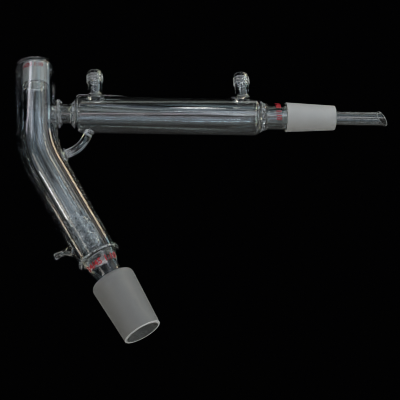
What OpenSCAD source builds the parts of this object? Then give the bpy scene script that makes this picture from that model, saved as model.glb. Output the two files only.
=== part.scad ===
// Distillation head in one piece of lamp-worked glass: an indented column in a sealed vacuum jacket,
// a side arm through a water-cooled condenser, and ground joints for the flask, thermometer and receiver.
// +Z runs up the flask joint, whose small end is at the origin. The condenser slopes down towards +X.

/* [Ground joints] */
// Diameter lost for each millimetre along a ground joint
joint_taper = 0.1; // [0.08:0.01:0.12]
// Wall of the ground joints
joint_wall = 2.2; // [1.8:0.1:2.6]
// Large end of the flask joint (34/45)
flask_joint_d = 34.5; // [32:0.5:42]
// Length of the flask joint's ground cone
flask_joint_len = 45; // [36:1:60]
// Large end of the receiver joint (24/40)
receiver_joint_d = 24; // [23:0.5:30]
// Length of the receiver joint's ground cone
receiver_joint_len = 40; // [32:1:50]
// Mouth of the thermometer socket (14/20)
thermometer_joint_d = 14.5; // [12:0.5:15]
// Depth of the thermometer socket's ground cone below its mouth ring
thermometer_joint_len = 18.5; // [14:0.5:24]

/* [Column] */
// Outer diameter of the vacuum jacket
column_od = 36.5; // [33:0.5:44]
// Wall of the vacuum jacket
column_wall = 1.7; // [1.4:0.1:2.2]
// Outer diameter of the tube inside the jacket
inner_od = 19; // [18:0.5:23]
// Wall of the tubes that carry the vapour
tube_wall = 1.4; // [1.2:0.1:1.8]
// Outer diameter of the neck between flask joint and jacket
neck_od = 25; // [23:0.5:28]
// Wall of the necks beside the ground joints
neck_wall = 1.8; // [1.5:0.1:2.2]
// Length of that neck, up to the ring seal at the foot of the jacket
neck_len = 23.5; // [18:0.5:34]
// Length over which the neck widens to the ring seal
funnel_len = 12.5; // [9:0.5:15]
// Height of the bend above the flask joint's ground cone
bend_height = 129; // [110:1:160]
// Angle of the bend, which is also the slope of the condenser
bend_angle = 27; // [20:1:33]
// Radius of the bend along the column's centre line
bend_r = 86; // [60:1:86]
// Length of the column from the bend to the thermometer mouth
upper_len = 77; // [70:1:100]
// Rounding of the jacket's upper end
crown_r = 6.5; // [5:0.5:8]
// How far the jacket draws in to the ring seal
seal_inset = 1.9; // [1:0.1:3]
// Height over which it draws in, and the inner tube flares out
foot_len = 7.5; // [6:0.5:12]
// Gap between jacket and flared tube at the ring seal
trough_w = 0.8; // [0.5:0.1:1.5]

/* [Indents] */
// Rows of indents in the inner tube
dent_rows = 4; // [1:1:5]
// Indents in each row
dents_per_row = 3; // [2:1:3]
// Distance between rows
dent_pitch = 9.5; // [9:0.5:11]
// Height of the lowest row above the ring seal
dent_height = 14.5; // [12:0.5:20]
// Width of an indent at the tube's surface
dent_d = 6; // [4:0.5:6.5]
// Gap between an indent's tip and the tube's axis
dent_tip_gap = 3.6; // [3.4:0.2:5]

/* [Condenser] */
// Distance of the condenser's axis above the bend, along the column
condenser_height = 32; // [30:1:36]
// Length of the side neck between the two jackets
side_neck_len = 12.5; // [10:0.5:18]
// Outer diameter of the water jacket
condenser_od = 32.5; // [30:0.5:39]
// Wall of the water jacket
condenser_wall = 1.6; // [1.4:0.1:2.2]
// Length of the water jacket
condenser_len = 150; // [120:1:190]
// Outer diameter of the vapour tube through the condenser
vapour_od = 16; // [14:0.5:17]
// Rounding of the water jacket's ends
shoulder_r = 5; // [3:0.5:6]
// Thickness of the welded rings
bead_d = 3; // [2:0.2:3.4]

/* [Receiver end] */
// Outer diameter of the neck between condenser and receiver joint
receiver_neck_od = 22; // [20:0.5:23]
// Length of that neck
receiver_neck_len = 22; // [16:1:30]
// Outer diameter of the drip tip
drip_od = 12.4; // [10:0.2:13]
// Length of the drip tip beyond its joint, on the axis
drip_len = 39.5; // [30:0.5:50]
// Slant of the drip tip's end
drip_slant = 31; // [0:1:40]

/* [Hose connections] */
// Distance of each hose connection from its end of the water jacket
hose_inset = [17, 13];
// Reach of a hose connection above the water jacket
hose_reach = 23; // [20:0.5:30]
// Outer diameter of its plain neck
hose_neck_od = 11; // [9:0.5:12]
// Bore of the hose connection
hose_bore = 7.6; // [6:0.2:8]
// Outer diameter over the screw thread (GL 14)
thread_od = 13.6; // [12.8:0.1:14]
// Pitch of the thread
thread_pitch = 2.5; // [2:0.1:2.8]
// Gap between neighbouring turns
thread_gap = 0.3; // [0.1:0.1:0.6]
// Turns of the thread
thread_turns = 3; // [2:1:4]
// Plain lip above the thread
lip_len = 2.8; // [2:0.2:4]
// Sweep of a hose connection into the water jacket
hose_flare = 2.5; // [1.5:0.5:3.5]

/* [Support rod] */
// Diameter of the solid rod between condenser and column
rod_d = 8; // [6:0.5:9]
// Distance of the rod from the water jacket's upper end
rod_inset = 11; // [10:0.5:13]
// Radius of the rod's arc
rod_arc_r = 27.5; // [26:0.5:29]
// Distance of the arc's centre below the condenser's axis
rod_drop = 10; // [8:0.5:12]
// Direction of the arc's lower end, below the condenser
rod_end_angle = 73; // [68:1:76]

/* [Pump-out tip] */
// Height of the sealed tip above the ring seal
tip_height = 16; // [14:0.5:34]
// Reach of the tip beyond the jacket
tip_reach = 12; // [9:0.5:15]
// Diameter of its stem
tip_d = 5.2; // [4:0.2:6]
// Sweep of the stem into the jacket
tip_flare = 4; // [3:0.5:5]

/* [Hidden] */
$fn = 96;
through = 1;                                  // run of a cutting solid past the face that it opens

flask_joint_r = flask_joint_d / 2;
flask_tip_r = flask_joint_r - joint_taper * flask_joint_len / 2;
receiver_joint_r = receiver_joint_d / 2;
receiver_tip_r = receiver_joint_r - joint_taper * receiver_joint_len / 2;
socket_r = thermometer_joint_d / 2;
socket_tip_r = socket_r - joint_taper * thermometer_joint_len / 2;

column_r = column_od / 2;
vacuum_r = column_r - column_wall;
inner_r = inner_od / 2;
lumen_r = inner_r - tube_wall;
mid_jacket_r = column_r - column_wall / 2;    // what is welded on ends inside the wall that it joins
mid_tube_r = inner_r - tube_wall / 2;
neck_r = neck_od / 2;
neck_bore_r = neck_r - neck_wall;

seal_z = flask_joint_len + neck_len;          // ring seal at the foot of the vacuum jacket
seal_r = column_r - seal_inset;
flare_r = seal_r - column_wall - trough_w;    // foot of the flared inner tube
foot_z = seal_z + foot_len;                   // both tubes have their full width from here
bend_z = flask_joint_len + bend_height;
bend_run = bend_r * tan(bend_angle / 2);      // length that the bend takes on each side of its corner
bend_start_z = bend_z - bend_run;
funnel_z = seal_z - funnel_len;               // the neck widens from here
swell_z = seal_z - tube_wall;                 // widest place inside, where the tube's flare meets the neck's
swell_r = seal_r - (seal_r - neck_r) * tube_wall / funnel_len - neck_wall;
socket_z = upper_len - thermometer_joint_len;

condenser_r = condenser_od / 2;
water_r = condenser_r - condenser_wall;
mid_water_r = condenser_r - condenser_wall / 2;
vapour_r = vapour_od / 2;
vapour_bore_r = vapour_r - tube_wall;
bead_r = bead_d / 2;
condenser_start = column_r + side_neck_len;   // distances along the condenser from the column's axis
condenser_end = condenser_start + condenser_len;
receiver_joint_start = condenser_end + receiver_neck_len;
receiver_joint_end = receiver_joint_start + receiver_joint_len;
receiver_neck_r = receiver_neck_od / 2;
gap_r = receiver_neck_r - neck_wall;
gap_tip_r = receiver_tip_r - joint_wall;
gap_start = condenser_end + bead_d;
drip_r = drip_od / 2;
drip_bore_r = drip_r - tube_wall;
drip_end = receiver_joint_end + drip_len;
drip_lean = drip_r * tan(drip_slant);
reducer_start = condenser_end - 4 * bead_d;   // the vapour tube narrows here to the drip tip

hose_r = hose_neck_od / 2;
hose_top = condenser_r + hose_reach;
thread_ring_r = (thread_pitch - thread_gap) / 2;
thread_start = hose_top - lip_len - thread_turns * thread_pitch;
hose_places = [condenser_start + hose_inset[0], condenser_end - hose_inset[1]];

dent_tip_r = dent_d / 6;
dent_spread = (dent_d / 2 - dent_tip_r) / (inner_r - dent_tip_gap);

rod_r = rod_d / 2;
rod_at = condenser_start + rod_inset;
rod_start_angle = asin((condenser_r - rod_drop) / rod_arc_r);
rod_root = 5;                                 // run of the rod past each jacket's surface, in degrees

tip_r = tip_d / 2;

// Places its children on the upper column: Z runs up the column from the bend.
module on_upper_column() {
    translate([0, 0, bend_z]) rotate([0, bend_angle, 0]) children();
}

// Places its children on the condenser: Z runs down the condenser from the column's axis, +X points down.
module on_condenser() {
    on_upper_column() translate([0, 0, condenser_height]) rotate([0, 90, 0]) children();
}

// Places its children on a hose connection: Z runs out of the condenser from its axis.
module on_hose(along) {
    on_condenser() translate([0, 0, along]) rotate([0, -90, 0]) children();
}

// Places its children on the pump-out tip: Z runs out of the column from its axis.
module on_tip() {
    translate([0, 0, seal_z + tip_height]) rotate([0, -90, 0]) children();
}

// Outline of half a post from z = 0 to z = h, with its upper edge rounded.
module post_outline(r, h, edge_r) {
    difference() {
        square([r, h]);
        translate([r - edge_r, h - edge_r]) difference() {
            square(edge_r + through);
            circle(edge_r);
        }
    }
}

// The same outline, hanging down from z = 0.
module foot_outline(r, h, edge_r) {
    mirror([0, 1]) post_outline(r, h, edge_r);
}

// Outline of half a ground cone from its tip at z = 0, rounded off behind it to a neck.
module ground_cone_outline(tip, large, len, neck) {
    polygon([[0, 0], [tip, 0], [large, len], [0, len]]);
    translate([0, len]) post_outline(large, large - neck, large - neck);
}

// Outline of half the lower column's outside, from the flask joint to the bend.
module lower_outline() {
    ground_cone_outline(flask_tip_r, flask_joint_r, flask_joint_len, neck_r);
    polygon([[0, flask_joint_len], [neck_r, flask_joint_len], [neck_r, funnel_z], [seal_r, seal_z],
             [column_r, foot_z], [column_r, bend_start_z], [0, bend_start_z]]);
}

// Outline of half the vacuum space, as if the inner tube were not there.
module lower_vacuum_outline() {
    polygon([[0, seal_z + column_wall], [seal_r - column_wall, seal_z + column_wall], [vacuum_r, foot_z],
             [vacuum_r, bend_start_z + through], [0, bend_start_z + through]]);
}

// Outline of half the inner tube's outside with its flared foot.
module lower_tube_outline() {
    polygon([[0, seal_z], [flare_r, seal_z], [flare_r, seal_z + column_wall], [inner_r, foot_z],
             [inner_r, bend_start_z + through], [0, bend_start_z + through]]);
}

// Outline of half the vapour's way from the flask joint's tip to the bend.
module lower_lumen_outline() {
    polygon([[0, -through], [flask_tip_r - joint_wall, -through], [flask_tip_r - joint_wall, 0],
             [neck_bore_r, flask_joint_len], [neck_bore_r, funnel_z], [swell_r, swell_z],
             [lumen_r, foot_z - tube_wall / 2], [lumen_r, bend_start_z + through],
             [0, bend_start_z + through]]);
}

// Sweep from radius r + sweep at z = 0 to radius r at z = sweep, on a solid root.
module flare(r, sweep, root) {
    rotate_extrude() {
        translate([0, -root]) square([r + sweep, root]);
        difference() {
            square([r + sweep, sweep]);
            translate([r + sweep, sweep]) circle(sweep);
        }
    }
}

// Welded ring round a tube of radius r.
module bead(r) {
    rotate_extrude() translate([r, 0]) circle(bead_r);
}

// Flask joint, its neck, and the lower stretch of the jacket and of the tube inside it.
module lower_column() {
    rotate_extrude() difference() {
        lower_outline();
        difference() {
            lower_vacuum_outline();
            lower_tube_outline();
        }
        lower_lumen_outline();
    }
}

// Curved stretch of the column, with the section that its children draw.
module column_bend() {
    translate([bend_r, 0, bend_start_z]) mirror([1, 0, 0]) rotate([90, 0, 0])
        rotate_extrude(angle = bend_angle) translate([bend_r, 0]) children();
}

module bent_column() {
    column_bend() {
        difference() {
            circle(column_r);
            circle(vacuum_r);
        }
        difference() {
            circle(inner_r);
            circle(lumen_r);
        }
    }
}

// Upper stretch of the jacket and of the tube inside it, with the thermometer socket in its mouth.
module upper_column() {
    on_upper_column() rotate_extrude() difference() {
        union() {
            translate([0, bend_run]) post_outline(column_r, upper_len - bend_run, crown_r);
            translate([socket_r + bead_r, upper_len]) circle(bead_r);
        }
        difference() {
            translate([0, bend_run - through])
                post_outline(vacuum_r, upper_len - column_wall - bend_run + through, crown_r - column_wall);
            square([inner_r, upper_len]);
        }
        polygon([[0, bend_run - through], [lumen_r, bend_run - through], [lumen_r, socket_z - bead_d],
                 [socket_tip_r, socket_z], [socket_r, upper_len], [socket_r, upper_len + bead_d],
                 [0, upper_len + bead_d]]);
    }
}

// Indents pressed into the inner tube, drawn with the cones' radius grown by the thickness wall.
module indents(wall) {
    run = inner_r + through - dent_tip_gap + wall;
    tip = dent_tip_r + wall;
    for (row = [0 : dent_rows - 1], i = [0 : dents_per_row - 1])
        translate([0, 0, seal_z + dent_height + row * dent_pitch])
            rotate([0, 90, (i + row / 2) * 360 / dents_per_row])
                translate([0, 0, dent_tip_gap - wall])
                    cylinder(h = run, r1 = tip, r2 = tip + dent_spread * run);
}

module indent_glass() {
    intersection() {
        indents(tube_wall);
        translate([0, 0, seal_z]) cylinder(h = bend_start_z - seal_z, r = mid_tube_r);
    }
}

// Water jacket, receiver neck and joint round the vapour tube, which is still solid here.
module condenser() {
    half = condenser_len / 2;
    on_condenser() rotate_extrude() {
        polygon([[0, 0], [vapour_r, 0], [vapour_r, reducer_start], [drip_r, condenser_end],
                 [drip_r, drip_end + drip_lean], [0, drip_end + drip_lean]]);
        translate([vapour_r + bead_r / 2, condenser_start - bead_r / 2]) circle(bead_r);
        difference() {
            union() {
                translate([0, condenser_start + half]) {
                    post_outline(condenser_r, half, shoulder_r);
                    foot_outline(condenser_r, half, shoulder_r);
                }
                translate([receiver_neck_r, condenser_end]) circle(bead_r);
                translate([0, condenser_end - bead_r]) square([receiver_neck_r, receiver_neck_len + bead_r]);
                translate([0, receiver_joint_end]) mirror([0, 1])
                    ground_cone_outline(receiver_tip_r, receiver_joint_r, receiver_joint_len,
                                        receiver_neck_r);
            }
            translate([0, condenser_start + half]) {
                post_outline(water_r, half - condenser_wall, shoulder_r - condenser_wall);
                foot_outline(water_r, half - condenser_wall, shoulder_r - condenser_wall);
            }
            polygon([[0, gap_start], [gap_r, gap_start], [gap_r, receiver_joint_start],
                     [gap_tip_r, receiver_joint_end], [gap_tip_r, receiver_joint_end + through],
                     [0, receiver_joint_end + through]]);
        }
    }
}

// Vapour tube from the column to the drip tip, opened along its whole length.
module vapour_bore() {
    on_condenser() rotate_extrude()
        polygon([[0, 0], [vapour_bore_r, 0], [vapour_bore_r, reducer_start], [drip_bore_r, condenser_end],
                 [drip_bore_r, drip_end + drip_lean + through], [0, drip_end + drip_lean + through]]);
}

// Slanted end of the drip tip.
module drip_slice() {
    on_condenser() translate([0, 0, drip_end]) rotate([0, -drip_slant, 0])
        translate([-drip_od, -drip_od, 0]) cube([2 * drip_od, 2 * drip_od, drip_od]);
}

// Solid of a radius within the upper column's walls, which trims what is welded on there.
module upper_core(r) {
    on_upper_column() translate([0, 0, bend_run]) cylinder(h = socket_z - bend_run, r = r);
}

// Side arm with its sweep into the column's jacket.
module side_arm() {
    difference() {
        condenser();
        upper_core(mid_tube_r);
    }
    difference() {
        on_condenser() translate([0, 0, column_r - bead_r]) flare(vapour_r, bead_d, column_r / 2);
        upper_core(mid_jacket_r);
    }
}

module hose_connection(along) {
    difference() {
        on_hose(along) {
            cylinder(h = hose_top, r = hose_r);
            translate([0, 0, condenser_r - bead_r / 2]) flare(hose_r, hose_flare, condenser_r / 2);
            for (turn = [0 : thread_turns - 1])
                translate([0, 0, thread_start + (turn + 0.5) * thread_pitch])
                    rotate_extrude() translate([thread_od / 2 - thread_ring_r, 0]) circle(thread_ring_r);
        }
        on_condenser() translate([0, 0, along - condenser_r]) cylinder(h = condenser_od, r = mid_water_r);
    }
}

module hose_opening(along) {
    on_hose(along) translate([0, 0, vapour_r + through]) cylinder(h = hose_top - vapour_r, d = hose_bore);
}

// Solid rod between the condenser's underside and the column, with a welded ring at each end.
module support_rod() {
    arc_angle = rod_end_angle - rod_start_angle;
    difference() {
        on_condenser() {
            translate([rod_drop, 0, rod_at - rod_arc_r * cos(rod_start_angle)])
                rotate([90, rod_end_angle - 90, 0]) {
                    rotate([0, 0, -rod_root]) rotate_extrude(angle = arc_angle + 2 * rod_root)
                        translate([rod_arc_r, 0]) circle(rod_r);
                    translate([rod_arc_r, 0, 0]) rotate([90, 0, 0]) bead(rod_r);
                }
            translate([condenser_r, 0, rod_at]) rotate([0, 90, 0]) bead(rod_r - bead_r / 2);
        }
        on_condenser() translate([0, 0, condenser_start]) cylinder(h = condenser_len / 2, r = mid_water_r);
        column_bend() circle(mid_jacket_r);
    }
}

// Tip where the vacuum was drawn and sealed off.
module pump_out_tip() {
    difference() {
        on_tip() {
            translate([0, 0, column_r]) flare(tip_r, tip_flare, column_r / 2);
            rotate_extrude() post_outline(tip_r, column_r + tip_reach, tip_r);
        }
        translate([0, 0, seal_z]) cylinder(h = bend_start_z - seal_z, r = mid_jacket_r);
    }
}

module pump_out_hollow() {
    on_tip() translate([0, 0, vacuum_r - through])
        cylinder(h = column_wall + tip_flare, r1 = tip_r, r2 = tip_r / 3);
}

module distilling_head() {
    color("lightcyan", 0.5) difference() {
        union() {
            lower_column();
            bent_column();
            upper_column();
            indent_glass();
            side_arm();
            for (along = hose_places) hose_connection(along);
            support_rod();
            pump_out_tip();
        }
        indents(0);
        vapour_bore();
        drip_slice();
        for (along = hose_places) hose_opening(along);
        pump_out_hollow();
    }
}

distilling_head();
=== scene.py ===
import math

import bmesh
import bpy
import numpy as np
from mathutils import Matrix, Vector


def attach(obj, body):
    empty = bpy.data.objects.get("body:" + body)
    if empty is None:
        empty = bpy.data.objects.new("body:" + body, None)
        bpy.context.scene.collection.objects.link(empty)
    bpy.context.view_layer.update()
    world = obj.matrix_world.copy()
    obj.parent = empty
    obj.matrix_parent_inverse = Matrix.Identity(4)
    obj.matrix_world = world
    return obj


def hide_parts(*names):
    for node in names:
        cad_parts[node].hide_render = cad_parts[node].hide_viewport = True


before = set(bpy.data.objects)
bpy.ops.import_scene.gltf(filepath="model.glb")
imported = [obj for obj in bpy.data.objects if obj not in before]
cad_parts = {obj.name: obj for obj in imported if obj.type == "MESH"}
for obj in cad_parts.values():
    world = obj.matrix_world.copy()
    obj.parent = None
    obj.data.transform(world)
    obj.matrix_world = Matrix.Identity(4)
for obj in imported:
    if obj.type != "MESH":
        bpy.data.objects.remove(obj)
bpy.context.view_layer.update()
mm = 0.001  # the glass's settings are in millimetres and degrees, meshes in metres


def newPiece(name, data):
    piece = bpy.data.objects.new(name, data)
    bpy.context.scene.collection.objects.link(piece)
    return piece


def turnOutwards(mesh, merge=None):
    # faces point outwards, after points closer than merge are joined
    bm = bmesh.new()
    bm.from_mesh(mesh)
    if merge:
        bmesh.ops.remove_doubles(bm, verts=bm.verts, dist=merge)
    bmesh.ops.recalc_face_normals(bm, faces=bm.faces)
    bm.to_mesh(mesh)
    bm.free()


def ringMesh(name, rings, loop=False):
    # skin over a stack of rings of points, closed at both ends or joined end to end in a loop
    count = len(rings[0])
    here = np.arange(count)
    after = (here + 1) % count
    faces = []
    for k in range(len(rings) if loop else len(rings) - 1):
        low, high = k * count, (k + 1) % len(rings) * count
        faces += np.stack([low + here, low + after, high + after, high + here], axis=1).tolist()
    if not loop:
        faces.append(here[::-1].tolist())
        faces.append((here + (len(rings) - 1) * count).tolist())
    mesh = bpy.data.meshes.new(name)
    mesh.from_pydata((np.vstack(rings) * mm).tolist(), [], faces)
    turnOutwards(mesh)
    return newPiece(name, mesh)


def shifted(x, y, z):
    return Matrix.Translation((x, y, z))


def turned(degrees):
    return Matrix.Rotation(math.radians(degrees), 4, "Y")


def moved(matrix, points):
    # points is rows of x, y, z
    m = np.array(matrix)
    return points @ m[:3, :3].T + m[:3, 3]


def circlePoints(r, z, count):
    turn = np.arange(count) * 2 * math.pi / count
    return np.stack([r * np.cos(turn), r * np.sin(turn), np.full(count, float(z))], axis=1)


# a profile is a list of (radius, height)
def arc(cr, cz, r, start, end, steps=8):
    # profile points along an arc, angles from outwards
    turn = np.radians(np.linspace(start, end, steps + 1))
    return [(cr + r * math.cos(t), cz + r * math.sin(t)) for t in turn]


def smoothed(points, steps=5):
    # Catmull-Rom curve through profile points
    p = [np.array(q, float) for q in [points[0], *points, points[-1]]]
    out = []
    for a, b, c, d in zip(p, p[1:], p[2:], p[3:]):
        for t in np.arange(steps) / steps:
            out.append(tuple(0.5 * (2 * b + (c - a) * t + (2 * a - 5 * b + 4 * c - d) * t * t
                                    + (3 * b - a - 3 * c + d) * t ** 3)))
    out.append(tuple(p[-1]))
    return out


def refined(profile, stretches):
    # adds points where a long straight stretch has to bend or dent: (from, to, spacing)
    shortest = 0.001  # a share of the stretch, below which a point isn't added
    out = [profile[0]]
    for (r0, z0), (r1, z1) in zip(profile, profile[1:]):
        extra = []
        for low, high, gap in stretches:
            lo, hi = max(min(z0, z1), low), min(max(z0, z1), high)
            if hi - lo > gap:
                extra += list(np.linspace(lo, hi, int((hi - lo) / gap) + 2))
        for z in sorted(set(np.round(extra, 4)), reverse=bool(z1 < z0)):
            t = (z - z0) / (z1 - z0)
            if shortest < t < 1 - shortest:
                out.append((r0 + (r1 - r0) * t, z))
        out.append((r1, z1))
    return out


def lathe(name, profile, place, count=112):
    # profile spun about the axis that place gives for each height
    rings = [moved(place(z), circlePoints(r, 0, count)) for r, z in profile]
    return ringMesh(name, rings)


def straight(matrix):
    return lambda z: matrix @ shifted(0, 0, z)


def flatten(piece):
    # a piece with modifiers becomes a plain mesh
    graph = bpy.context.evaluated_depsgraph_get()
    mesh = bpy.data.meshes.new_from_object(piece.evaluated_get(graph), depsgraph=graph)
    piece.modifiers.clear()
    piece.data = mesh
    return piece


def combine(target, tools, operation):
    # tools are used up
    for tool in tools:
        modifier = target.modifiers.new("cut", "BOOLEAN")
        modifier.operation = operation
        modifier.solver = "MANIFOLD"
        modifier.object = tool
        flatten(target)
        bpy.data.objects.remove(tool)
    return target


def addNode(tree, kind, inputs=None, **options):
    # inputs takes a number or colour for a socket, or another node's output to link
    made = tree.nodes.new(kind)
    for key, value in options.items():
        setattr(made, key, value)
    for key, value in (inputs or {}).items():
        if isinstance(value, bpy.types.NodeSocket):
            tree.links.new(value, made.inputs[key])
        else:
            made.inputs[key].default_value = value
    return made


def maths(tree, operation, *values):
    return addNode(tree, "ShaderNodeMath", dict(enumerate(values)), operation=operation).outputs[0]


def newGroup(name, sizes):
    # geometry in and out, and a named number input for each size
    tree = bpy.data.node_groups.new(name, "GeometryNodeTree")
    tree.interface.new_socket("Geometry", in_out="INPUT", socket_type="NodeSocketGeometry")
    for label, value in sizes.items():
        kind = "NodeSocketInt" if isinstance(value, int) else "NodeSocketFloat"
        tree.interface.new_socket(label, in_out="INPUT", socket_type=kind)
    tree.interface.new_socket("Geometry", in_out="OUTPUT", socket_type="NodeSocketGeometry")
    return tree, tree.nodes.new("NodeGroupInput").outputs


def endGroup(tree, geometry, material):
    real = addNode(tree, "GeometryNodeRealizeInstances", {"Geometry": geometry})
    coated = addNode(tree, "GeometryNodeSetMaterial", {"Geometry": real.outputs[0], "Material": material})
    addNode(tree, "NodeGroupOutput", {0: coated.outputs[0]})
    return tree


def runGroup(piece, tree, sizes, plain):
    # lengths go in as metres, the plain numbers as they are
    modifier = piece.modifiers.new(tree.name, "NODES")
    modifier.node_group = tree
    for item in tree.interface.items_tree:
        if item.in_out == "INPUT" and item.name in sizes:
            size = sizes[item.name]
            modifier[item.identifier] = size if item.name in plain else size * mm
    return flatten(piece)


glassLook = {"Base Color": (0.95, 0.982, 1.0, 1), "Roughness": 0.0, "IOR": 1.473, "Transmission Weight": 1.0}
groundLook = {"Roughness": 0.6, "IOR": 1.473, "Sheen Weight": 0.35, "Sheen Roughness": 0.25}
# grain of the ground joints: two sizes of noise on an even whiteness, and a little less red
grain = {"fine": 1400.0, "fineAmount": 0.3, "wide": 90.0, "wideAmount": 0.16, "even": 0.77, "red": 0.985}
# painted highlights: fine white lines along the edges of bent cells stand in for the glints of glass worked
# in the
# flame: how they bend and how wide they are, in cells, over what height they fade out, and their white
paintedGlints = {"bends": 1.2, "bendAmount": 1.6, "inner": 0.01, "outer": 0.15, "fade": 3,
         "white": (0.84, 0.89, 0.95, 1)}


def newMaterial(name, look):
    material = bpy.data.materials.new(name)
    material.use_nodes = True
    for label, value in look.items():
        material.node_tree.nodes["Principled BSDF"].inputs[label].default_value = value
    return material


def groundGlass(name, white, clear):
    # frosted by grinding: how white it is, partly as painted light and shade, and how much light goes through
    material = newMaterial(name, groundLook | {"Transmission Weight": clear})
    tree = material.node_tree
    place = addNode(tree, "ShaderNodeTexCoord").outputs["Object"]
    fine = addNode(tree, "ShaderNodeTexNoise", {"Vector": place, "Scale": grain["fine"], "Detail": 3.0})
    wide = addNode(tree, "ShaderNodeTexNoise", {"Vector": place, "Scale": grain["wide"], "Detail": 2.0})
    both = maths(tree, "ADD", maths(tree, "MULTIPLY", fine.outputs[0], grain["fineAmount"]),
                 maths(tree, "MULTIPLY", wide.outputs[0], grain["wideAmount"]))
    shade = maths(tree, "MULTIPLY", maths(tree, "ADD", both, grain["even"]), white)
    red = maths(tree, "MULTIPLY", shade, grain["red"])
    colour = addNode(tree, "ShaderNodeCombineColor", {0: red, 1: shade, 2: shade})
    tree.links.new(colour.outputs[0], tree.nodes["Principled BSDF"].inputs["Base Color"])
    return material


def glintPaintedGlass(name, haze, glints, size, between=None):
    # clear glass with a faint haze, and fine white lines painted where it was worked hot, as painted
    # highlights for the glints of its uneven skin, between two heights if they are given
    material = newMaterial(name, glassLook)
    tree = material.node_tree
    size = size * mm
    place = addNode(tree, "ShaderNodeTexCoord").outputs["Object"]
    bends = {"Vector": place, "Scale": paintedGlints["bends"] / size, "Detail": 1.0}
    noise = addNode(tree, "ShaderNodeTexNoise", bends).outputs["Color"]
    amounts = (size * paintedGlints["bendAmount"],) * 3
    bend = addNode(tree, "ShaderNodeVectorMath", {0: noise, 1: amounts}, operation="MULTIPLY")
    bent = addNode(tree, "ShaderNodeVectorMath", {0: place, 1: bend.outputs[0]}, operation="ADD")
    cells = addNode(tree, "ShaderNodeTexVoronoi", {"Vector": bent.outputs[0], "Scale": 1 / size},
                    feature="DISTANCE_TO_EDGE")
    width = {"Value": cells.outputs["Distance"], "From Min": paintedGlints["inner"], "From Max": paintedGlints["outer"],
             "To Min": 1.0, "To Max": 0.0}
    lines = addNode(tree, "ShaderNodeMapRange", width, interpolation_type="SMOOTHSTEP").outputs[0]
    if between:
        low, high = between
        z = addNode(tree, "ShaderNodeSeparateXYZ", {0: place}).outputs["Z"]
        for start, full in ((low, low + paintedGlints["fade"]), (high, high - paintedGlints["fade"])):
            ramp = {"Value": z, "From Min": start * mm, "From Max": full * mm}
            lines = maths(tree, "MULTIPLY", lines, addNode(tree, "ShaderNodeMapRange", ramp).outputs[0])
    amount = maths(tree, "ADD", maths(tree, "MULTIPLY", lines, glints), haze)
    # the white diffuse mixed in along the lines is the painted highlight
    white = addNode(tree, "ShaderNodeBsdfDiffuse", {"Color": paintedGlints["white"]})
    clear = tree.nodes["Principled BSDF"]
    mix = addNode(tree, "ShaderNodeMixShader", {0: amount, 1: clear.outputs[0], 2: white.outputs[0]})
    tree.links.new(mix.outputs[0], tree.nodes["Material Output"].inputs[0])
    return material


# the glass's finishes, in the order of its material slots
finishes = {
    "clear": newMaterial("clearGlass", glassLook),
    "tube": glintPaintedGlass("tubeGlass", haze=0.045, glints=0.42, size=5.2, between=(79, 108)),
    # the joints' different whiteness is painted light and shade: darkest on the flask joint, lightest in the
    # socket
    "flask": groundGlass("flaskJoint", white=0.475, clear=0.6),
    "receiver": groundGlass("receiverJoint", white=0.78, clear=0.4),
    "socket": groundGlass("socketJoint", white=0.98, clear=0.2),
    "thread": glintPaintedGlass("threadGlass", haze=0.05, glints=0.5, size=1.6),
    "weld": glintPaintedGlass("weldGlass", haze=0.02, glints=0.5, size=2.9),
}
print("finishes made:", len(finishes))

head = {
    "bendAngle": 27, "bendR": 86, "bendZ": 174,  # corner of the column's centre line
    "armHeight": 32,  # side arm above the corner
    "tubeR": 9.5, "tubeWall": 1.4,  # inner tube
}
bendRun = head["bendR"] * math.tan(math.radians(head["bendAngle"] / 2))
bendStart = head["bendZ"] - bendRun
bendLength = head["bendR"] * math.radians(head["bendAngle"])
bendEnd = bendStart + bendLength
upperFrame = shifted(0, 0, head["bendZ"]) @ turned(head["bendAngle"])
armFrame = upperFrame @ shifted(0, 0, head["armHeight"]) @ turned(90)


def alongColumn(s):
    # frame at distance s up the column's bent centre line
    if s <= bendStart:
        return shifted(0, 0, s)
    if s >= bendEnd:
        return upperFrame @ shifted(0, 0, s - bendEnd + bendRun)
    turn = (s - bendStart) / head["bendR"]
    return (shifted(head["bendR"], 0, bendStart) @ Matrix.Rotation(turn, 4, "Y")
            @ shifted(-head["bendR"], 0, 0))


def upper(u):
    # distance up the centre line of a height u above the corner
    return u - bendRun + bendEnd


def upperPart(points):
    return [(r, upper(u)) for r, u in points]


jacket = {"r": 18.25, "wall": 1.7, "crownTop": 77, "crownR": 6.5}
rim = {"r": 8.4, "top": 77.35, "thick": 1.15}  # melted ring round the column's mouth
joint = {"tipR": 15, "largeR": 17.25, "length": 45, "rounding": 0.6, "shoulder": 3.5,
         "boreTipR": 12.8, "boreRounding": 0.5, "neckR": 12.5, "neckBoreR": 10.7}
socket = {"foot": 58.9, "footR": 6.3, "mouth": 77.3, "mouthR": 7.25, "r": 10.5}  # for the thermometer
# parts of the column that need more rings: from, to and spacing
bendStretch = (bendStart - 2, bendEnd + 2, 1.5)
dentStretch = (78, 110, 0.52)
tubeCount = 132  # points round the inner tube


def lowerOutside():
    # flask joint, neck, funnel and ring seal up to the jacket's full width
    large, neck, rounding, shoulder = joint["largeR"], joint["neckR"], joint["rounding"], joint["shoulder"]
    profile = [(joint["boreTipR"] + 0.4, 0)]
    profile += arc(joint["tipR"] - rounding, rounding, rounding, -90, 0, 4)
    profile += [(large, joint["length"])]
    profile += arc(large - shoulder, joint["length"] + 0.9, shoulder, 8, 76, 9)
    profile += smoothed([(13.6, 49.4), (12.9, 50), (neck, 51.2), (neck, 53), (12.6, 55.4), (13.2, 58),
                         (14.2, 61), (15.3, 64.4), (16.2, 67.4), (16.75, 68.6), (17.0, 69.4), (17.0, 70.2),
                         (17.15, 71.4), (17.6, 73.4), (18.1, 76), (jacket["r"], 79)], 4)
    return profile


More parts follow.
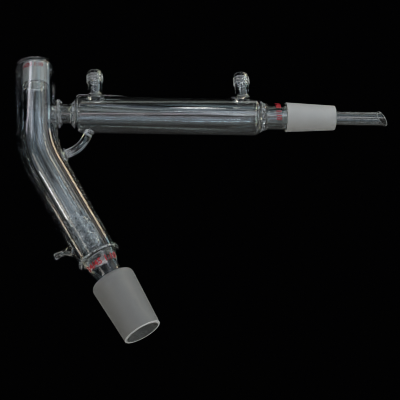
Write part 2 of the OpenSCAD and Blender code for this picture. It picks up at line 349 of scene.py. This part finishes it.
def columnOutside():
    crown = jacket["crownR"]
    profile = lowerOutside()
    profile += upperPart(arc(jacket["r"] - crown, jacket["crownTop"] - crown, crown, 0, 80, 12))
    profile += upperPart([(9.9, 77.05)] + arc(rim["r"], rim["top"], rim["thick"], -8, 165, 9) + [(7.2, 77.2)])
    return lathe("column", refined(profile, [bendStretch]), alongColumn)


def vapourWay():
    # hollow of the column, open at the flask joint and at the thermometer socket
    r = head["tubeR"] - head["tubeWall"]
    tip, rounding, neck = joint["boreTipR"], joint["boreRounding"], joint["neckBoreR"]
    profile = [(tip + 1.2, -1)] + arc(tip + rounding, rounding, rounding, 250, 180, 4)
    profile += smoothed([(neck, joint["length"]), (neck, 50), (10.75, 54.5), (11.3, 57.6), (12.4, 61),
                         (13.4, 64.4), (14.1, 66.8), (14.0, 68.3), (13.1, 69.5), (11.6, 70.8), (10.0, 72.5),
                         (8.8, 74.5), (r + 0.1, 76.8), (r, 79)], 4)
    profile += upperPart(smoothed([(r, 54), (r - 0.2, 56.1), (r - 0.9, 57.5), (socket["footR"] + 0.1, 58.3),
                                   (socket["footR"], socket["foot"])], 3))
    profile += upperPart([(socket["mouthR"], socket["mouth"]), (socket["mouthR"] + 0.3, 77.9), (8.2, 79)])
    piece = lathe("vapourWay", refined(profile, [bendStretch, dentStretch]), alongColumn, tubeCount)
    return indented(piece)


def innerTube():
    # its outside, from the ring seal to the socket
    r, socketR = head["tubeR"], socket["r"]
    profile = [(13.9, 66), (13.9, 70.2)]
    profile += smoothed([(13.3, 70.9), (12.2, 71.8), (11.0, 73.1), (10.1, 74.8), (9.6, 76.8), (r, 79)], 4)
    profile += upperPart(smoothed([(r, 47), (r + 0.1, 50), (socketR - 0.1, 55), (socketR, 58)], 3))
    profile += upperPart([(socketR, 79)])
    piece = lathe("innerTube", refined(profile, [bendStretch, dentStretch]), alongColumn, tubeCount)
    return indented(piece)


def jacketSpace():
    # vacuum between jacket and inner tube, before the tube is taken out of it
    r, crown = jacket["r"] - jacket["wall"], jacket["crownR"] - jacket["wall"]
    profile = smoothed([(12.8, 71.1), (13.5, 70.6), (14.2, 70.2), (14.8, 70.2), (15.3, 70.7), (15.7, 71.9),
                        (16.1, 73.8), (r - 0.1, 76), (r, 79)], 4)
    profile += upperPart(arc(r - crown, jacket["crownTop"] - jacket["wall"] - crown, crown, 0, 88, 12))
    profile += upperPart([(9.0, 75.3)])
    return lathe("jacketSpace", refined(profile, [bendStretch]), alongColumn)


# rows of dents pressed into the inner tube, turned by half a step from row to row, and uneven skin round them
dents = {
    "First row": 82.5, "Row gap": 7.4, "Rows": 4, "Dents per row": 3, "Radius": 3.7, "Depth": 6.1,
    "Crinkle": 0.55, "Crinkle size": 2.6, "Skin radius": 9.0, "Seed": 4.0,
}


def dentTree():
    tree, sizes = newGroup("indents", dents)

    def do(operation, *values):
        return maths(tree, operation, *values)

    def length(a, b):
        return do("SQRT", do("ADD", do("MULTIPLY", a, a), do("MULTIPLY", b, b)))

    place = tree.nodes.new("GeometryNodeInputPosition").outputs[0]
    x, y, z = addNode(tree, "ShaderNodeSeparateXYZ", {0: place}).outputs
    turn = do("DIVIDE", do("ARCTAN2", y, x), 2 * math.pi)  # as a share of a whole turn
    radius = length(x, y)

    # how far the point is from the nearest dent's middle, up or down and round the tube
    row = do("DIVIDE", do("SUBTRACT", z, sizes["First row"]), sizes["Row gap"])
    lastRow = do("SUBTRACT", sizes["Rows"], 1.0)
    nearRow = do("MINIMUM", do("MAXIMUM", do("ROUND", row), 0.0), lastRow)
    upDown = do("MULTIPLY", do("SUBTRACT", row, nearRow), sizes["Row gap"])
    step = do("SUBTRACT", do("MULTIPLY", turn, sizes["Dents per row"]), do("MULTIPLY", nearRow, 0.5))
    aside = do("SUBTRACT", step, do("ROUND", step))
    around = do("DIVIDE", do("MULTIPLY", aside, do("MULTIPLY", radius, 2 * math.pi)), sizes["Dents per row"])
    apart = length(upDown, around)
    reach = do("MINIMUM", do("DIVIDE", apart, sizes["Radius"]), 1.0)
    swell = do("ADD", do("MULTIPLY", do("COSINE", do("MULTIPLY", reach, math.pi)), 0.5), 0.5)
    inward = do("MULTIPLY", swell, do("MULTIPLY", sizes["Depth"], -1.0))

    # uneven skin, the same through the wall because it goes by direction and height, faded past the rows
    angle = do("MULTIPLY", turn, 2 * math.pi)
    skin = addNode(tree, "ShaderNodeCombineXYZ", {
        0: do("MULTIPLY", do("COSINE", angle), sizes["Skin radius"]),
        1: do("MULTIPLY", do("SINE", angle), sizes["Skin radius"]),
        2: z,
    })
    noise = addNode(tree, "ShaderNodeTexNoise", {
        "Vector": skin.outputs[0], "W": sizes["Seed"], "Detail": 1.0,
        "Scale": do("DIVIDE", 1.0, sizes["Crinkle size"]),
    }, noise_dimensions="4D")
    fade = do("SUBTRACT", 1.0, do("DIVIDE", do("ABSOLUTE", upDown), sizes["Row gap"]))
    uneven = do("MULTIPLY", do("SUBTRACT", noise.outputs[0], 0.5), do("MAXIMUM", fade, 0.0))
    crinkle = do("MULTIPLY", uneven, do("MULTIPLY", sizes["Crinkle"], 2.0))

    push = do("DIVIDE", do("ADD", inward, crinkle), radius)
    flat = addNode(tree, "ShaderNodeCombineXYZ", {0: x, 1: y}).outputs[0]
    offset = addNode(tree, "ShaderNodeVectorMath", {0: flat, "Scale": push}, operation="SCALE").outputs[0]
    shaped = addNode(tree, "GeometryNodeSetPosition", {"Geometry": sizes["Geometry"], "Offset": offset})
    return endGroup(tree, shaped.outputs[0], finishes["clear"])


dentsGroup = dentTree()


def indented(piece):
    return runGroup(piece, dentsGroup, dents, plain=("Rows", "Dents per row", "Seed"))


arm = {"r": 8, "bore": 6.6, "start": 30.75, "end": 180.75, "jacketR": 16.25, "wall": 1.6, "shoulder": 5,
       "neckR": 11, "neckEnd": 202.75, "tipEnd": 242.75, "largeR": 12, "tipR": 10, "rounding": 0.6}
drip = {"r": 6.2, "wall": 1.4, "end": 282.25, "slant": 31}
sliceFrame = armFrame @ shifted(0, 0, drip["end"]) @ turned(-drip["slant"])
beyond = 300  # past the drip tip's end, where the slice cuts it


def armOutside():
    r, shoulder, rounding, tipEnd = arm["jacketR"], arm["shoulder"], arm["rounding"], arm["tipEnd"]
    tube, neck = arm["r"], arm["neckR"]
    profile = smoothed([(tube, 8), (tube, 14), (tube, 22), (tube, 26.5), (8.4, 28.2), (9.5, 29.2), (10.3, 30),
                        (10.3, 30.7), (10.9, 31)], 4)
    profile += arc(r - shoulder, arm["start"] + shoulder, shoulder, -84, 0, 10)
    profile += arc(r - shoulder, arm["end"] - shoulder, shoulder, 0, 70, 9)
    profile += smoothed([(12.9, 180.6), (12.6, 181.3), (12.5, 182), (11.9, 182.8), (11.3, 183.6), (neck, 185),
                         (neck, 188)], 4)
    profile += [(neck, arm["neckEnd"] - 1.4)]
    profile += arc(neck, arm["neckEnd"] - 0.3, 1, -80, -5, 5)
    profile += [(arm["tipR"], tipEnd - rounding)]
    profile += arc(arm["tipR"] - rounding, tipEnd - rounding, rounding, 15, 90, 4)
    return lathe("arm", profile, straight(armFrame))


def vapourTube(name, r, dripR):
    # solid rod from the column's axis to past the drip tip
    profile = [(r, 0), (r, 166)]
    profile += smoothed([(r, 166), (r - 0.2, 169), ((r + dripR) / 2, 174.5), (dripR + 0.2, 180),
                         (dripR, 183)], 4)
    return lathe(name, profile + [(dripR, beyond)], straight(armFrame))


def dripSlice():
    # takes the drip tube off at a slant
    return lathe("slice", [(20, 0), (20, 25)], straight(sliceFrame), 32)


def waterSpace():
    # between the condenser's jacket and the vapour's tube
    r, shoulder = arm["jacketR"] - arm["wall"], arm["shoulder"] - arm["wall"]
    low, high = arm["start"] + arm["wall"], arm["end"] - arm["wall"]
    profile = [(6, low)] + arc(r - shoulder, low + shoulder, shoulder, -90, 0, 8)
    profile += arc(r - shoulder, high - shoulder, shoulder, 0, 90, 8) + [(5, high)]
    return lathe("waterSpace", profile, straight(armFrame))


def receiverGap():
    # between the receiver joint and the drip tip
    profile = [(drip["r"] - 1.2, 185)] + arc(7.6, 186.6, 1.6, -90, 0, 6)
    profile += [(9.2, 203), (7.8, arm["tipEnd"] - 0.5), (8.2, arm["tipEnd"] + 1)]
    gap = lathe("receiverGap", profile, straight(armFrame))
    tube = lathe("tube", [(drip["r"], 170), (drip["r"], beyond)], straight(armFrame))
    return combine(gap, [tube], "DIFFERENCE")


def saddle(name, place, hostR, r, root, tail, count=80):
    # tube on a round host: its root lies along the host's surface, then turns up into the tube
    rows, foot, sink = 10, 6, 0.12  # its foot lies inside the host, and its edge is sunk a little
    turn = np.arange(count) * 2 * math.pi / count
    rings = []
    for k in range(rows + 1):
        lean = math.pi / 2 * k / rows
        ringR = r + root["flare"] * (1 - math.sin(lean))
        lift = root["sweep"] * (1 - math.cos(lean))
        side = ringR * np.sin(turn)
        surface = np.sqrt(np.maximum(hostR ** 2 - side ** 2, 1.0))
        even = (k / rows) ** 2
        z = (surface + lift - sink * (1 - k / rows)) * (1 - even) + (hostR + lift) * even
        if k == 0:
            rings.append(np.stack([ringR * np.cos(turn), side, z - foot], axis=1))
        rings.append(np.stack([ringR * np.cos(turn), side, z], axis=1))
    rings += [circlePoints(tailR, z, count) for tailR, z in tail]
    return ringMesh(name, [moved(place, ring) for ring in rings])


armRoot = {"flare": 2.7, "sweep": 3.6, "top": 24.5}
# fused beads round the side arm's root, and how uneven they are: amount and number of swells and ripples
beads = [{"r": 10.2, "thick": 1.35, "lift": 0.3}, {"r": 8.9, "thick": 0.8, "lift": 1.9}]
lumps = {"swell": 0.22, "swells": 7, "ripple": 0.16, "ripples": 13}


def weldRing(name, place, hostR, bead, count=72):
    # fused bead that follows a round host's surface round a tube
    r, thick, lift = bead["r"], bead["thick"], bead["lift"]
    across = np.radians(np.arange(0, 360, 30))  # round the bead itself
    rings = []
    for t in np.arange(count) * 2 * math.pi / count:
        lump = lumps["swell"] * math.sin(lumps["swells"] * t + lift)
        lump += lumps["ripple"] * math.sin(lumps["ripples"] * t)
        side = (r + lump) * math.sin(t)
        height = math.sqrt(hostR ** 2 - side ** 2)
        centre = Vector(((r + lump) * math.cos(t), side, height + lift + lump))
        out = Vector((math.cos(t), math.sin(t), -side * math.sin(t) / height)).normalized()
        above = Vector((0, side, height)).normalized()
        points = [centre + out * thick * math.cos(a) + above * thick * math.sin(a) for a in across]
        rings.append(moved(place, np.array(points)))
    return ringMesh(name, rings, loop=True)


def armFlare():
    tail = [(arm["r"], armRoot["top"])]
    return saddle("flare", armFrame, jacket["r"], arm["r"], armRoot, tail, count=112)


hose = {"places": (47.75, 167.75), "r": 5.7, "bore": 3.8, "swell": 0.4, "top": 39.25, "rounding": 0.6,
        "flare": 2.6, "sweep": 2.8}
# the ridge thins over a share of its length at each end: one in how many, and how thin it gets
thread = {"Crest radius": 6.8, "Pitch": 2.5, "Turns": 3.2, "Ridge": 1.15, "Start": 28.9,
          "Run-out": 9.0, "Thinnest": 0.25}


def threadTree():
    # a round ridge wound in a spiral, thinner where it runs out at both ends
    tree, sizes = newGroup("thread", thread)

    def do(operation, *values):
        return maths(tree, operation, *values)

    middle = do("SUBTRACT", sizes["Crest radius"], sizes["Ridge"])
    spiral = addNode(tree, "GeometryNodeCurveSpiral", {
        "Resolution": 48, "Rotations": sizes["Turns"], "Start Radius": middle, "End Radius": middle,
        "Height": do("MULTIPLY", sizes["Turns"], sizes["Pitch"]),
    })
    along = addNode(tree, "GeometryNodeSplineParameter").outputs["Factor"]
    fromEnd = do("MINIMUM", along, do("SUBTRACT", 1.0, along))
    fade = do("POWER", do("MINIMUM", do("MULTIPLY", fromEnd, sizes["Run-out"]), 1.0), 0.5)
    ring = addNode(tree, "GeometryNodeCurvePrimitiveCircle", {"Resolution": 12, "Radius": sizes["Ridge"]})
    ridge = addNode(tree, "GeometryNodeCurveToMesh", {
        "Curve": spiral.outputs[0], "Profile Curve": ring.outputs[0], "Fill Caps": True,
        "Scale": do("MAXIMUM", fade, sizes["Thinnest"]),
    })
    lift = addNode(tree, "ShaderNodeCombineXYZ", {2: sizes["Start"]}).outputs[0]
    raised = addNode(tree, "GeometryNodeSetPosition", {"Geometry": ridge.outputs[0], "Offset": lift})
    return endGroup(tree, raised.outputs[0], finishes["clear"])


threadGroup = threadTree()


def hosePlace(along):
    return armFrame @ shifted(0, 0, along) @ turned(-90)


def inMetres(matrix):
    # a placing matrix for a mesh that is in metres already
    m = matrix.copy()
    m.translation = m.translation * mm
    return m


def hoseConnection(along):
    r, top, swell = hose["r"], hose["top"], hose["swell"]
    tail = [(r, 27.0), (r + 0.25, 28.2), (r + swell, 29.4), (r + swell, top - 3.2), (r + 0.1, top - 2.0)]
    tail += arc(r - 0.8, top - 0.9, 0.9, 0, 90, 5)
    body = saddle("hose", hosePlace(along), arm["jacketR"], r, hose, tail)
    ridge = newPiece("thread", bpy.data.meshes.new("thread"))
    runGroup(ridge, threadGroup, thread, plain=("Turns", "Run-out", "Thinnest"))
    ridge.data.transform(inMetres(hosePlace(along)))
    turnOutwards(ridge.data, merge=1e-6)
    return combine(body, [ridge], "UNION")


def hoseBore(along):
    bore, top, rounding = hose["bore"], hose["top"], hose["rounding"]
    profile = [(bore, 10), (bore, top - rounding)]
    profile += arc(bore + rounding, top - rounding, rounding, 180, 110, 3)
    profile += [(bore + 1.0, top + 1)]
    return lathe("hoseBore", profile, straight(hosePlace(along)), 96)


# the support rod's arc, and its welds: angle along the arc, spread and height
rod = {"r": 3.5, "arcR": 27.5, "drop": 10, "along": 14.85, "first": 8, "last": 79,
       "welds": ((13.2, 1.7, 1.3), (73.5, 2.4, 1.7))}


def supportRod():
    rings = []
    for angle in np.linspace(rod["first"], rod["last"], 60):
        t = math.radians(angle)
        x, z = rod["drop"] + rod["arcR"] * math.sin(t), rod["along"] + rod["arcR"] * math.cos(t)
        place = armFrame @ shifted(x, 0, z) @ Matrix.Rotation(t + math.pi / 2, 4, "Y")
        swell = sum(math.exp(-((angle - at) / spread) ** 2) * height for at, spread, height in rod["welds"])
        rings.append(moved(place, circlePoints(rod["r"] + swell, 0, 64)))
    return ringMesh("rod", rings)


# sealed tip where the vacuum was drawn
tip = {"z": 84.5, "r": 2.5, "flare": 5.6, "sweep": 5.6, "reach": 30.3, "endR": 1.75}
tipFrame = shifted(0, 0, tip["z"]) @ turned(-90)


def pumpOutTip():
    r = tip["r"]
    knob = smoothed([(r, 23.2), (r - 0.25, 25.5), (r + 0.1, 27.6), (r + 0.15, 28.8)], 3)
    knob += arc(r - 1.6, tip["reach"] - tip["endR"], tip["endR"], 0, 80, 6)
    return saddle("tip", tipFrame, jacket["r"], r, tip, knob)


def tipHollow():
    profile = smoothed([(7.0, 15.5), (5.4, 17), (3.0, 19.2), (1.5, 21.8), (1.1, 24.2), (0.8, 26.4),
                        (0.2, 27)], 3)
    return lathe("tipHollow", profile, straight(tipFrame), 48)


def fusedGlass():
    body = combine(columnOutside(), [armOutside(), vapourTube("drip", arm["r"], drip["r"])], "UNION")
    print("column and arm:", len(body.data.polygons))
    welded = [weldRing("armRing", armFrame, jacket["r"], bead) for bead in beads]
    welded += [armFlare(), supportRod(), pumpOutTip()]
    combine(body, welded + [hoseConnection(place) for place in hose["places"]], "UNION")
    print("welded parts:", len(body.data.polygons))
    sideTube = lathe("sideTube", [(arm["r"], 0), (arm["r"], 40)], straight(armFrame))
    tubes = combine(innerTube(), [sideTube], "UNION")
    vacuum = combine(combine(jacketSpace(), [tipHollow()], "UNION"), [tubes], "DIFFERENCE")
    water = combine(waterSpace(), [vapourTube("tube", arm["r"], drip["r"])], "DIFFERENCE")
    bore = vapourTube("bore", arm["bore"], drip["r"] - drip["wall"])
    hollows = [vacuum, water, receiverGap(), vapourWay(), bore, dripSlice()]
    combine(body, hollows + [hoseBore(place) for place in hose["places"]], "DIFFERENCE")
    body.name = body.data.name = "fusedGlass"
    print("glass faces:", len(body.data.polygons))
    return body


glass = fusedGlass()

# where the finishes lie, as lowest and highest: r and z for the column, armR and along for the side arm
zones = {
    "flaskShoulder": {"r": (14, 30), "z": (45, 49)},
    "flaskFoot": {"r": (13.1, 30), "z": (-1, 1.1)},  # its rim, given the socket's whiter finish as a painted highlight
    "sealWeld": {"r": (16.7, 30), "z": (68.5, 69.9)},
    "armWelds": [
        {"armR": (9.0, 12.2), "along": (16.5, 21.8)},
        {"armR": (8.6, 11.6), "along": (28.4, 31.4)},
        {"armR": (11.2, 13.4), "along": (180.2, 183.6)},
    ],
    "rodAtArm": {"x": 16.3, "along": 41.6, "reach": 6.2, "between": (15.9, 18.6)},
    "rodAtColumn": {"x": 36.4, "along": 22.7, "reach": 4.6, "side": 6},
    "screws": [{"r": (6.25, 8), "z": (27.5, 50)}, {"r": (6.2, 8.6), "z": (16.2, 18)}],
    "outside": 0.2,  # how far past a jacket's surface a weld starts
}


def within(values, limits):
    return (values > limits[0]) & (values < limits[1])


def fromColumn(p):
    # distance of each point from the column's bent centre line, and its height along it
    low = np.stack([np.hypot(p[:, 0], p[:, 1]), p[:, 2]], axis=1)
    u = moved(upperFrame.inverted(), p)
    high = np.stack([np.hypot(u[:, 0], u[:, 1]), upper(u[:, 2])], axis=1)
    bendX, bendUp = head["bendR"] - p[:, 0], p[:, 2] - bendStart
    bent = np.stack([np.hypot(np.hypot(bendX, bendUp) - head["bendR"], p[:, 1]),
                     bendStart + head["bendR"] * np.arctan2(bendUp, bendX)], axis=1)
    isLow, isHigh = p[:, 2] < bendStart, u[:, 2] > bendRun
    return np.where(isLow[:, None], low, np.where(isHigh[:, None], high, bent)).T


def groundFaces(r, z, armR, along, cut):
    # faces of the flask joint, the receiver joint and the thermometer socket
    coneR = joint["tipR"] + (joint["largeR"] - joint["tipR"]) * z / joint["length"]
    flask = (np.abs(r - coneR) < 0.1) & (z > joint["rounding"]) & (z <= joint["length"])
    flask |= within(r, zones["flaskShoulder"]["r"]) & within(z, zones["flaskShoulder"]["z"])
    share = (along - arm["neckEnd"]) / (arm["tipEnd"] - arm["neckEnd"])
    coneR = arm["largeR"] + (arm["tipR"] - arm["largeR"]) * share
    receiver = (armR > coneR - 0.35) & within(along, (arm["neckEnd"] - 0.8, arm["tipEnd"] - arm["rounding"]))
    receiver |= (np.abs(cut) < 0.02) & (armR < arm["bore"] + 0.4)  # drip tip's cut face
    mouth = (r < socket["mouthR"] + 0.15) & within(z, (upper(socket["foot"]), upper(socket["mouth"])))
    # the flask joint's rim joins the socket's whiter finish as a painted highlight
    mouth |= within(r, zones["flaskFoot"]["r"]) & within(z, zones["flaskFoot"]["z"])
    return flask, receiver, mouth


def weldFaces(r, z, arms, armR, along):
    outside = r > jacket["r"] + zones["outside"]
    welds = within(r, zones["sealWeld"]["r"]) & within(z, zones["sealWeld"]["z"])
    for weld in zones["armWelds"]:
        welds |= within(armR, weld["armR"]) & within(along, weld["along"]) & outside
    rodEnd = zones["rodAtArm"]
    near = np.hypot(arms[:, 0] - rodEnd["x"], along - rodEnd["along"]) < rodEnd["reach"]
    welds |= near & within(arms[:, 0], rodEnd["between"]) & (armR > arm["jacketR"] + zones["outside"])
    rodEnd = zones["rodAtColumn"]
    near = np.hypot(arms[:, 0] - rodEnd["x"], along - rodEnd["along"]) < rodEnd["reach"]
    return welds | (near & outside & (np.abs(arms[:, 1]) < rodEnd["side"]))


def screwFaces(points):
    screws = np.zeros(len(points), bool)
    for place in hose["places"]:
        near = moved(hosePlace(place).inverted(), points)
        r = np.hypot(near[:, 0], near[:, 1])
        for zone in zones["screws"]:
            screws |= within(r, zone["r"]) & within(near[:, 2], zone["z"])
    return screws


def finishGlass(piece):
    mesh = piece.data
    mesh.materials.clear()
    for material in finishes.values():
        mesh.materials.append(material)
    centres = np.zeros(len(mesh.polygons) * 3)
    mesh.polygons.foreach_get("center", centres)
    points = centres.reshape(-1, 3) / mm
    r, z = fromColumn(points)
    arms = moved(armFrame.inverted(), points)
    armR, along = np.hypot(arms[:, 0], arms[:, 1]), arms[:, 2]
    cut = moved(sliceFrame.inverted(), points)[:, 2]
    flask, receiver, mouth = groundFaces(r, z, armR, along, cut)
    tube = (r < head["tubeR"] + 0.05) & (z > 74) & (armR > arm["r"])
    faces = {"socket": mouth, "receiver": receiver, "flask": flask, "tube": tube,
             "thread": screwFaces(points), "weld": weldFaces(r, z, arms, armR, along)}
    slots = [list(finishes).index(finish) for finish in faces]
    index = np.select(list(faces.values()), slots, 0).astype(np.int32)
    mesh.polygons.foreach_set("material_index", index)
    mesh.polygons.foreach_set("use_smooth", np.ones(len(mesh.polygons), bool))
    mesh.set_sharp_from_angle(angle=math.radians(38))
    mesh.update()
    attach(piece, "root")
    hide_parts("distilling_head")


finishGlass(glass)
print("glass finished")

# red enamel text wrapped round an axis: height along it, letter height, length along the arc and middle angle
prints = {
    "lowerPrint": {"text": "34/45 1:10", "at": 61.6, "size": 4.4, "length": 28, "angle": -105},
    "upperPrint": {"text": "14/20 1:10", "at": 71.6, "size": 3.4, "length": 18, "angle": -108},
    "receiverPrint": {"text": "24/40 1:10", "at": 195, "size": 4.2, "length": 22, "angle": -105},
}
enamel = {"lift": 0.05, "thickness": 0.08}
redEnamel = newMaterial("redEnamel", {"Base Color": (0.5, 0.015, 0.03, 1), "Roughness": 0.45})


def flatLetters(name, text):
    # raised letters one unit high and one thick, as a mesh
    curve = bpy.data.curves.new(name, "FONT")
    curve.body = text
    curve.size = 1
    curve.extrude = 0.5
    curve.offset = 0.02
    curve.resolution_u = 3
    piece = newPiece(name, curve)
    graph = bpy.context.evaluated_depsgraph_get()
    mesh = bpy.data.meshes.new_from_object(piece.evaluated_get(graph), depsgraph=graph)
    bpy.data.objects.remove(piece)
    return mesh


def wrappedText(name, axis, radius):
    letters = prints[name]
    mesh = flatLetters(name, letters["text"])
    bm = bmesh.new()
    bm.from_mesh(mesh)
    bmesh.ops.remove_doubles(bm, verts=bm.verts, dist=1e-5)
    low, high = min(v.co.x for v in bm.verts), max(v.co.x for v in bm.verts)
    for x in np.linspace(low, high, 40)[1:-1]:
        bmesh.ops.bisect_plane(bm, geom=bm.verts[:] + bm.edges[:] + bm.faces[:], dist=1e-6,
                               plane_co=(x, 0, 0), plane_no=(1, 0, 0))
    tall = max(v.co.y for v in bm.verts)
    middle, sweep = math.radians(letters["angle"]), letters["length"] / radius(letters["at"])
    for v in bm.verts:
        height = letters["at"] + (v.co.y / tall - 0.5) * letters["size"]
        r = radius(height) + enamel["lift"] + v.co.z * enamel["thickness"]
        turn = middle + ((v.co.x - low) / (high - low) - 0.5) * sweep
        v.co = axis @ Vector((r * math.cos(turn), r * math.sin(turn), height)) * mm
    bm.to_mesh(mesh)
    bm.free()
    mesh.materials.append(redEnamel)
    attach(newPiece(name, mesh), "root")


funnelR, funnelZ = zip(*lowerOutside())
wrappedText("lowerPrint", Matrix.Identity(4), lambda z: float(np.interp(z, funnelZ, funnelR)))
wrappedText("upperPrint", upperFrame, lambda z: socket["r"])
wrappedText("receiverPrint", armFrame, lambda z: arm["neckR"])
print("prints wrapped:", len(prints))

# the camera looks up from below: where it is, where it points, its roll, and how far the view is turned aside
view = {"place": (-292.8, -1088.5, -332.6), "ahead": (0.3096, 0.8888, 0.3379), "roll": 29.74,
        "right": 0.0073, "down": 0.00025, "lens": 140.4, "sensor": 36}


def makeCamera():
    roll = math.radians(view["roll"])
    ahead = Vector(view["ahead"]).normalized()
    right = ahead.cross(Vector((math.sin(roll), 0, math.cos(roll)))).normalized()
    above = right.cross(ahead)
    ahead = (ahead + right * view["right"] - above * view["down"]).normalized()
    right = ahead.cross(above).normalized()
    above = right.cross(ahead)
    data = bpy.data.cameras.new("camera")
    data.sensor_width = view["sensor"]
    data.lens = view["lens"]
    camera = newPiece("camera", data)
    pointing = Matrix((right, above, -ahead)).transposed().to_4x4()
    camera.matrix_world = Matrix.Translation(Vector(view["place"]) * mm) @ pointing
    bpy.context.scene.camera = camera


makeCamera()

# soft lamps stand on a ball round the head: turn from the camera's side, height angle, size in metres, power
lampBall = {"middle": (0.12, 0, 0.13), "distance": 1.5, "start": -109}  # in metres
lamps = [
    {"turn": -30, "up": 8, "size": (0.2, 1.2), "power": 1.89, "colour": (1.0, 0.91, 0.8)},
    {"turn": 0, "up": 45, "size": (1.2, 0.1), "power": 1.39, "colour": (0.93, 0.9, 1.0)},
    {"turn": 120, "up": -10, "size": (0.34, 0.34), "power": 0.9, "colour": (0.89, 1.0, 0.78)},
    {"turn": 0, "up": -20, "size": (1.2, 0.1), "power": 1.18, "colour": (1.0, 0.88, 0.9)},
    {"turn": 60, "up": 8, "size": (0.2, 1.2), "power": 1.09, "colour": (0.99, 1.0, 0.94)},
    {"turn": -60, "up": -20, "size": (1.2, 0.1), "power": 1.06, "colour": (0.97, 1.0, 0.91)},
    {"turn": 45, "up": 8, "size": (0.2, 1.2), "power": 1.15, "colour": (0.68, 0.9, 1.0)},
    {"turn": -90, "up": -10, "size": (0.34, 0.34), "power": 0.78, "colour": (1.0, 0.92, 0.64)},
    {"turn": 30, "up": -10, "size": (0.34, 0.34), "power": 0.73, "colour": (0.88, 0.91, 1.0)},
    {"turn": 60, "up": 45, "size": (1.2, 0.1), "power": 0.75, "colour": (0.88, 1.0, 0.92)},
    {"turn": 150, "up": -10, "size": (0.34, 0.34), "power": 0.67, "colour": (1.0, 0.93, 0.54)},
    {"turn": 15, "up": 8, "size": (0.2, 1.2), "power": 0.68, "colour": (0.93, 1.0, 0.98)},
    {"turn": 75, "up": 8, "size": (0.2, 1.2), "power": 0.66, "colour": (0.96, 0.88, 1.0)},
    {"turn": 30, "up": 8, "size": (0.2, 1.2), "power": 0.67, "colour": (0.69, 0.84, 1.0)},
    {"turn": 0, "up": 20, "size": (1.2, 0.1), "power": 0.33, "colour": (0.77, 0.89, 1.0)},
    {"turn": 90, "up": 25, "size": (0.34, 0.34), "power": 0.31, "colour": (1.0, 0.6, 0.27)},
    {"turn": 90, "up": -4, "size": (0.1, 0.6), "power": 1.5, "colour": (0.66, 0.93, 1)},
    {"turn": 90, "up": 24, "size": (0.12, 0.6), "power": 2.3, "colour": (1, 0.85, 0.64)},
    {"turn": -120, "up": -22, "size": (0.34, 0.34), "power": 1.26, "colour": (1, 1, 0.97)},
    {"turn": 120, "up": -22, "size": (0.34, 0.34), "power": 1.22, "colour": (1, 0.95, 0.92)},
    {"turn": 30, "up": -22, "size": (0.34, 0.34), "power": 0.99, "colour": (1, 1, 1)},
    {"turn": -30, "up": 8, "size": (0.34, 0.34), "power": 0.79, "colour": (0.99, 1, 0.98)},
    {"turn": 0, "up": 40, "size": (0.34, 0.34), "power": 0.72, "colour": (0.88, 0.9, 1)},
    {"turn": 30, "up": 8, "size": (0.34, 0.34), "power": 0.72, "colour": (0.9, 0.96, 1)},
    {"turn": 90, "up": 40, "size": (0.34, 0.34), "power": 0.61, "colour": (0.98, 1, 0.97)},
    {"turn": 90, "up": 8, "size": (0.34, 0.34), "power": 0.5, "colour": (0.68, 0.86, 1)},
    {"turn": 30, "up": 40, "size": (0.34, 0.34), "power": 0.36, "colour": (1, 0.9, 0.78)},
    {"turn": 60, "up": 8, "size": (0.34, 0.34), "power": 0.36, "colour": (0.55, 0.68, 1)},
    {"turn": 70, "up": 8, "size": (0.2, 1.2), "power": 0.36, "colour": (1, 0.9, 0.5)},
    {"turn": 35, "up": 12, "size": (0.12, 0.12), "power": 0.9, "colour": (1, 1, 1)},
    {"turn": -40, "up": 20, "size": (0.12, 0.12), "power": 0.7, "colour": (1, 1, 1)},
    {"turn": 180, "up": 50, "size": (0.6, 0.1), "power": 0.12, "colour": (1, 1, 1)},
]


def placeLamp(name, lamp):
    turn, up = math.radians(lamp["turn"] + lampBall["start"]), math.radians(lamp["up"])
    data = bpy.data.lights.new(name, "AREA")
    data.shape = "RECTANGLE"
    data.size, data.size_y = lamp["size"]
    data.energy = lamp["power"]
    data.color = lamp["colour"]
    away = Vector((math.cos(turn) * math.cos(up), math.sin(turn) * math.cos(up), math.sin(up)))
    made = newPiece(name, data)
    made.location = Vector(lampBall["middle"]) + away * lampBall["distance"]
    made.rotation_euler = away.to_track_quat("Z", "Y").to_euler()


for number, lamp in enumerate(lamps):
    placeLamp(f"lamp{number}", lamp)

# dark room over a pale floor
room = {"colour": (0.0006, 0.0006, 0.0007, 1), "floorHeight": -0.75, "floorHalf": 4.0,
        "floorLook": {"Base Color": (0.75, 0.75, 0.75, 1), "Roughness": 0.9}}


def makeRoom():
    world = bpy.data.worlds.new("studio")
    bpy.context.scene.world = world
    world.use_nodes = True
    world.node_tree.nodes["Background"].inputs["Color"].default_value = room["colour"]
    mesh = bpy.data.meshes.new("floor")
    half, z = room["floorHalf"], room["floorHeight"]
    corners = [(-half, -half, z), (half, -half, z), (half, half, z), (-half, half, z)]
    mesh.from_pydata(corners, [], [(0, 1, 2, 3)])
    mesh.materials.append(newMaterial("paleFloor", room["floorLook"]))
    newPiece("floor", mesh)


makeRoom()
scene = bpy.context.scene
scene.view_settings.view_transform = "Standard"
# light passes many layers of glass
scene.cycles.transmission_bounces = 24
scene.cycles.max_bounces = 28
scene.cycles.filter_width = 1.0
print("stage set:", len(lamps), "lamps")
